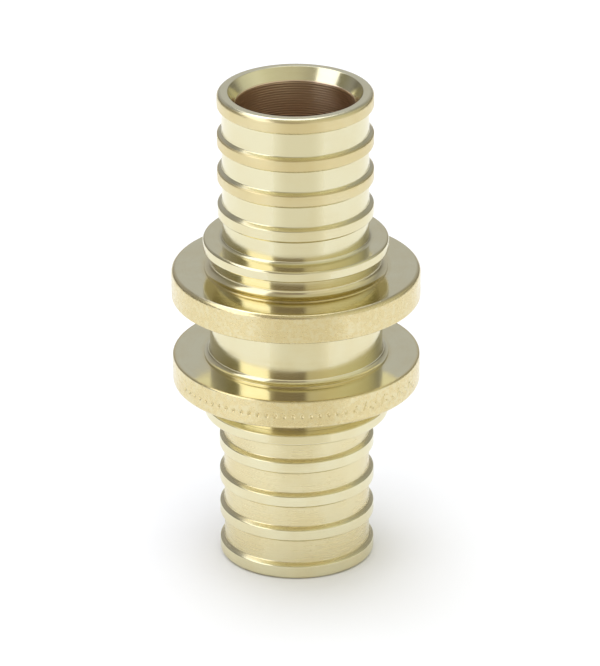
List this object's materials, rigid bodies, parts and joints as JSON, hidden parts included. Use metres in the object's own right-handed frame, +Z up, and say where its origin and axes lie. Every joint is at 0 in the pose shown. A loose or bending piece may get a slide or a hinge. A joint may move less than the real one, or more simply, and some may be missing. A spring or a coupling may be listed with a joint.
{
  "type": "straight pipe coupling",
  "caption": "Straight brass pipe coupling with a ribbed spigot and a stop collar at each end, and round tool flanges either side of a plain neck.",
  "frame": {"origin": "centre of the lower end face, on the bore axis", "axes": "+Z up along the bore axis, from the lower spigot to the upper one; the coupling is round, so +X and +Y are any two directions square to it"},
  "size_m": [0.04, 0.04, 0.08],
  "materials": {
    "turned_brass": "bright turned",
    "forged_brass": "turned faces, satin forged rim"
  },
  "bodies": {
    "root": {"centre_tube": "turned_brass", "upper_flange": "forged_brass", "lower_flange": "forged_brass", "upper_stop_collar": "turned_brass", "lower_stop_collar": "turned_brass", "upper_spigot": "turned_brass", "lower_spigot": "turned_brass"}
  },
  "joints": []
}
